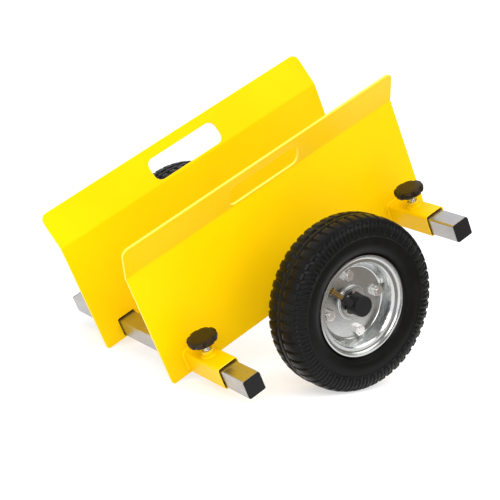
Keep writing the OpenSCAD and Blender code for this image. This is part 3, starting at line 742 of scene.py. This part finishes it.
def sleeve_weld_path():
    """Path up one side of a sleeve, over its top and down the other side, on the plate's face."""
    half = SLEEVE_SIZE / 2 + WELD_STAND
    low = PLATE_EDGE + WELD_START * SLEEVE_WELD
    high = PLATE_EDGE + SLEEVE_SIZE + WELD_STAND
    corner = SLEEVE_CORNER + WELD_STAND
    right = [(half - corner + corner * math.cos(bend), high - corner + corner * math.sin(bend))
             for bend in np.radians(np.linspace(0, 90, CORNER_STEPS))]
    outline = [(half, low), *right, *((-x, z) for x, z in reversed(right)), (-half, low)]
    level = -SLEEVE_LENGTH / 2 + WELD_STAND
    return evenly([(x, level, z) for x, z in outline], WELD_STEP)


# The cart

def dress_solids():
    """Gives all solids their finish and most of them a piece with rounded edges."""
    for node, cad in frame["nodes"].items():
        for place in range(len(cad.data.materials)):
            cad.data.materials[place] = FINISHES[SLOTS[node]]
        width = next((width for key, width in EDGES.items() if key in node), None)
        if width:
            dressed(node, width)


def add_details():
    """Adds the tyres, knobs, studs and welds."""
    y, z = (0, 1, 0), (0, 0, 1)
    tyre = tyre_mesh()
    knob = knob_mesh()
    stud = stud_mesh()
    axle_weld = axle_weld_mesh()
    sleeve_weld = weld_mesh("sleeve_weld", sleeve_weld_path(), y, SLEEVE_WELD, closed=False)
    nut_path = circle(CLAMP_NUT_RADIUS + WELD_STAND, PLATE_EDGE + SLEEVE_SIZE + WELD_STAND)
    nut_weld = weld_mesh("nut_weld", nut_path, z, NUT_WELD)
    spacer_path = circle(SPACER_RADIUS + WELD_STAND, PLATE_FROM_WHEEL + WELD_STAND)
    spacer_weld = weld_mesh("spacer_weld", spacer_path, z, SPACER_WELD)
    hub_path = circle(HUB_RADIUS + WELD_STAND, DISC_FACE + WELD_STAND)
    hub_weld = weld_mesh("hub_weld", hub_path, z, HUB_WELD, finish="zinc_rim", share=HUB_RIPPLE)
    for side in SIDES:
        wheel = wheel_frame(side)
        piece(f"{side}_tyre_treaded", tyre, f"{side}_wheel", wheel, f"{side}_tyre")
        piece(f"{side}_spacer_weld", spacer_weld, f"{side}_frame", wheel)
        piece(f"{side}_axle_weld", axle_weld, f"{side}_frame", wheel)
        piece(f"{side}_hub_weld", hub_weld, f"{side}_wheel", wheel)
        for end in ENDS:
            place = f"{side}_{end}"
            clamp = clamp_frame(side, end)
            piece(f"{place}_knob_lobed", knob, f"{place}_knob_body", clamp,
                  f"{place}_knob")
            piece(f"{place}_stud_threaded", stud, f"{place}_stud_body", clamp,
                  f"{place}_stud")
            piece(f"{place}_sleeve_weld", sleeve_weld, f"{side}_frame", clamp)
            piece(f"{place}_nut_weld", nut_weld, f"{side}_frame", clamp)


# Floor, light and camera

def ground(name, corners, level, finish):
    """A flat piece of the floor."""
    mesh = bpy.data.meshes.new(name)
    mesh.from_pydata([(x, y, level) for x, y in corners], [], [range(len(corners))])
    mesh.materials.append(finish)
    made = bpy.data.objects.new(name, mesh)
    scene.collection.objects.link(made)
    return made


def lay_floor():
    """The floor that the camera sees and the table that bright metal mirrors in its place."""
    finish, _, _ = material("floor", {
        "Base Color": FLOOR_GREY, "Roughness": FLOOR_ROUGHNESS, "Specular IOR Level": 0.0,
        "Emission Color": WHITE, "Emission Strength": FLOOR_GLOW})
    floor = ground("floor", FLOOR_CORNERS, 0, finish)
    floor.visible_glossy = False
    table = ground("table", TABLE_CORNERS, TABLE_LEVEL, finish)
    table.visible_camera = False
    table.visible_diffuse = False
    table.visible_shadow = False


def hang_sky():
    """The sky's light, the room that reflections see and the white behind the cart."""
    scene.world = bpy.data.worlds.new("studio")
    scene.world.use_nodes = True
    tree = scene.world.node_tree
    background = tree.nodes["Background"]
    direction = add(tree, "ShaderNodeTexCoord").outputs["Generated"]
    height = add(tree, "ShaderNodeSeparateXYZ", Vector=direction).outputs["Z"]
    light = shades(tree, unsigned(tree, height), SKY_SHADES)
    along_room = reckon(tree, "ShaderNodeVectorMath", "DOT_PRODUCT", direction, ROOM_AXIS)
    room = shades(tree, unsigned(tree, along_room), ROOM_SHADES)
    to_window = reckon(tree, "ShaderNodeVectorMath", "DOT_PRODUCT", direction, WINDOW_AXIS)
    window = shades(tree, to_window, WINDOW_SHADES)
    mirrored = mixed(tree, 1.0, room, window, "ADD")
    rays = add(tree, "ShaderNodeLightPath").outputs
    seen = mixed(tree, rays["Is Glossy Ray"], light, mirrored)
    seen = mixed(tree, rays["Is Camera Ray"], seen, WHITE)
    put(tree, background.inputs["Color"], seen)
    background.inputs["Strength"].default_value = SKY_STRENGTH


def hang_lamp(lamp, place, course):
    """Puts a lamp in its place, with its light along a course."""
    made = bpy.data.objects.new(lamp.name, lamp)
    made.location = place
    made.rotation_euler = Vector(course).to_track_quat("-Z", "Y").to_euler()
    scene.collection.objects.link(made)


def hang_lamps():
    """A wide sun from the front right and a softbox from the front left."""
    sun = bpy.data.lights.new("sun", "SUN")
    sun.energy = SUN_STRENGTH
    sun.angle = SUN_ANGLE
    hang_lamp(sun, SUN_PLACE, SUN_COURSE)
    softbox = bpy.data.lights.new("softbox", "AREA")
    softbox.energy = SOFTBOX_POWER
    softbox.size = SOFTBOX_SIZE
    hang_lamp(softbox, SOFTBOX_PLACE, SOFTBOX_COURSE)


def aim_camera():
    """The camera in the photograph's place."""
    lens = bpy.data.cameras.new("camera")
    lens.lens = CAMERA_LENS
    lens.sensor_width = CAMERA_SENSOR
    lens.clip_end = CAMERA_REACH
    camera = bpy.data.objects.new("camera", lens)
    camera.location = CAMERA_PLACE
    aim = (Vector(CAMERA_TARGET) - Vector(CAMERA_PLACE)).to_track_quat("-Z", "Y")
    camera.rotation_euler = (aim @ Quaternion((0, 0, 1), CAMERA_ROLL)).to_euler()
    scene.collection.objects.link(camera)
    scene.camera = camera


dress_solids()
add_details()
scene.view_settings.view_transform = "Standard"
lay_floor()
hang_sky()
hang_lamps()
aim_camera()
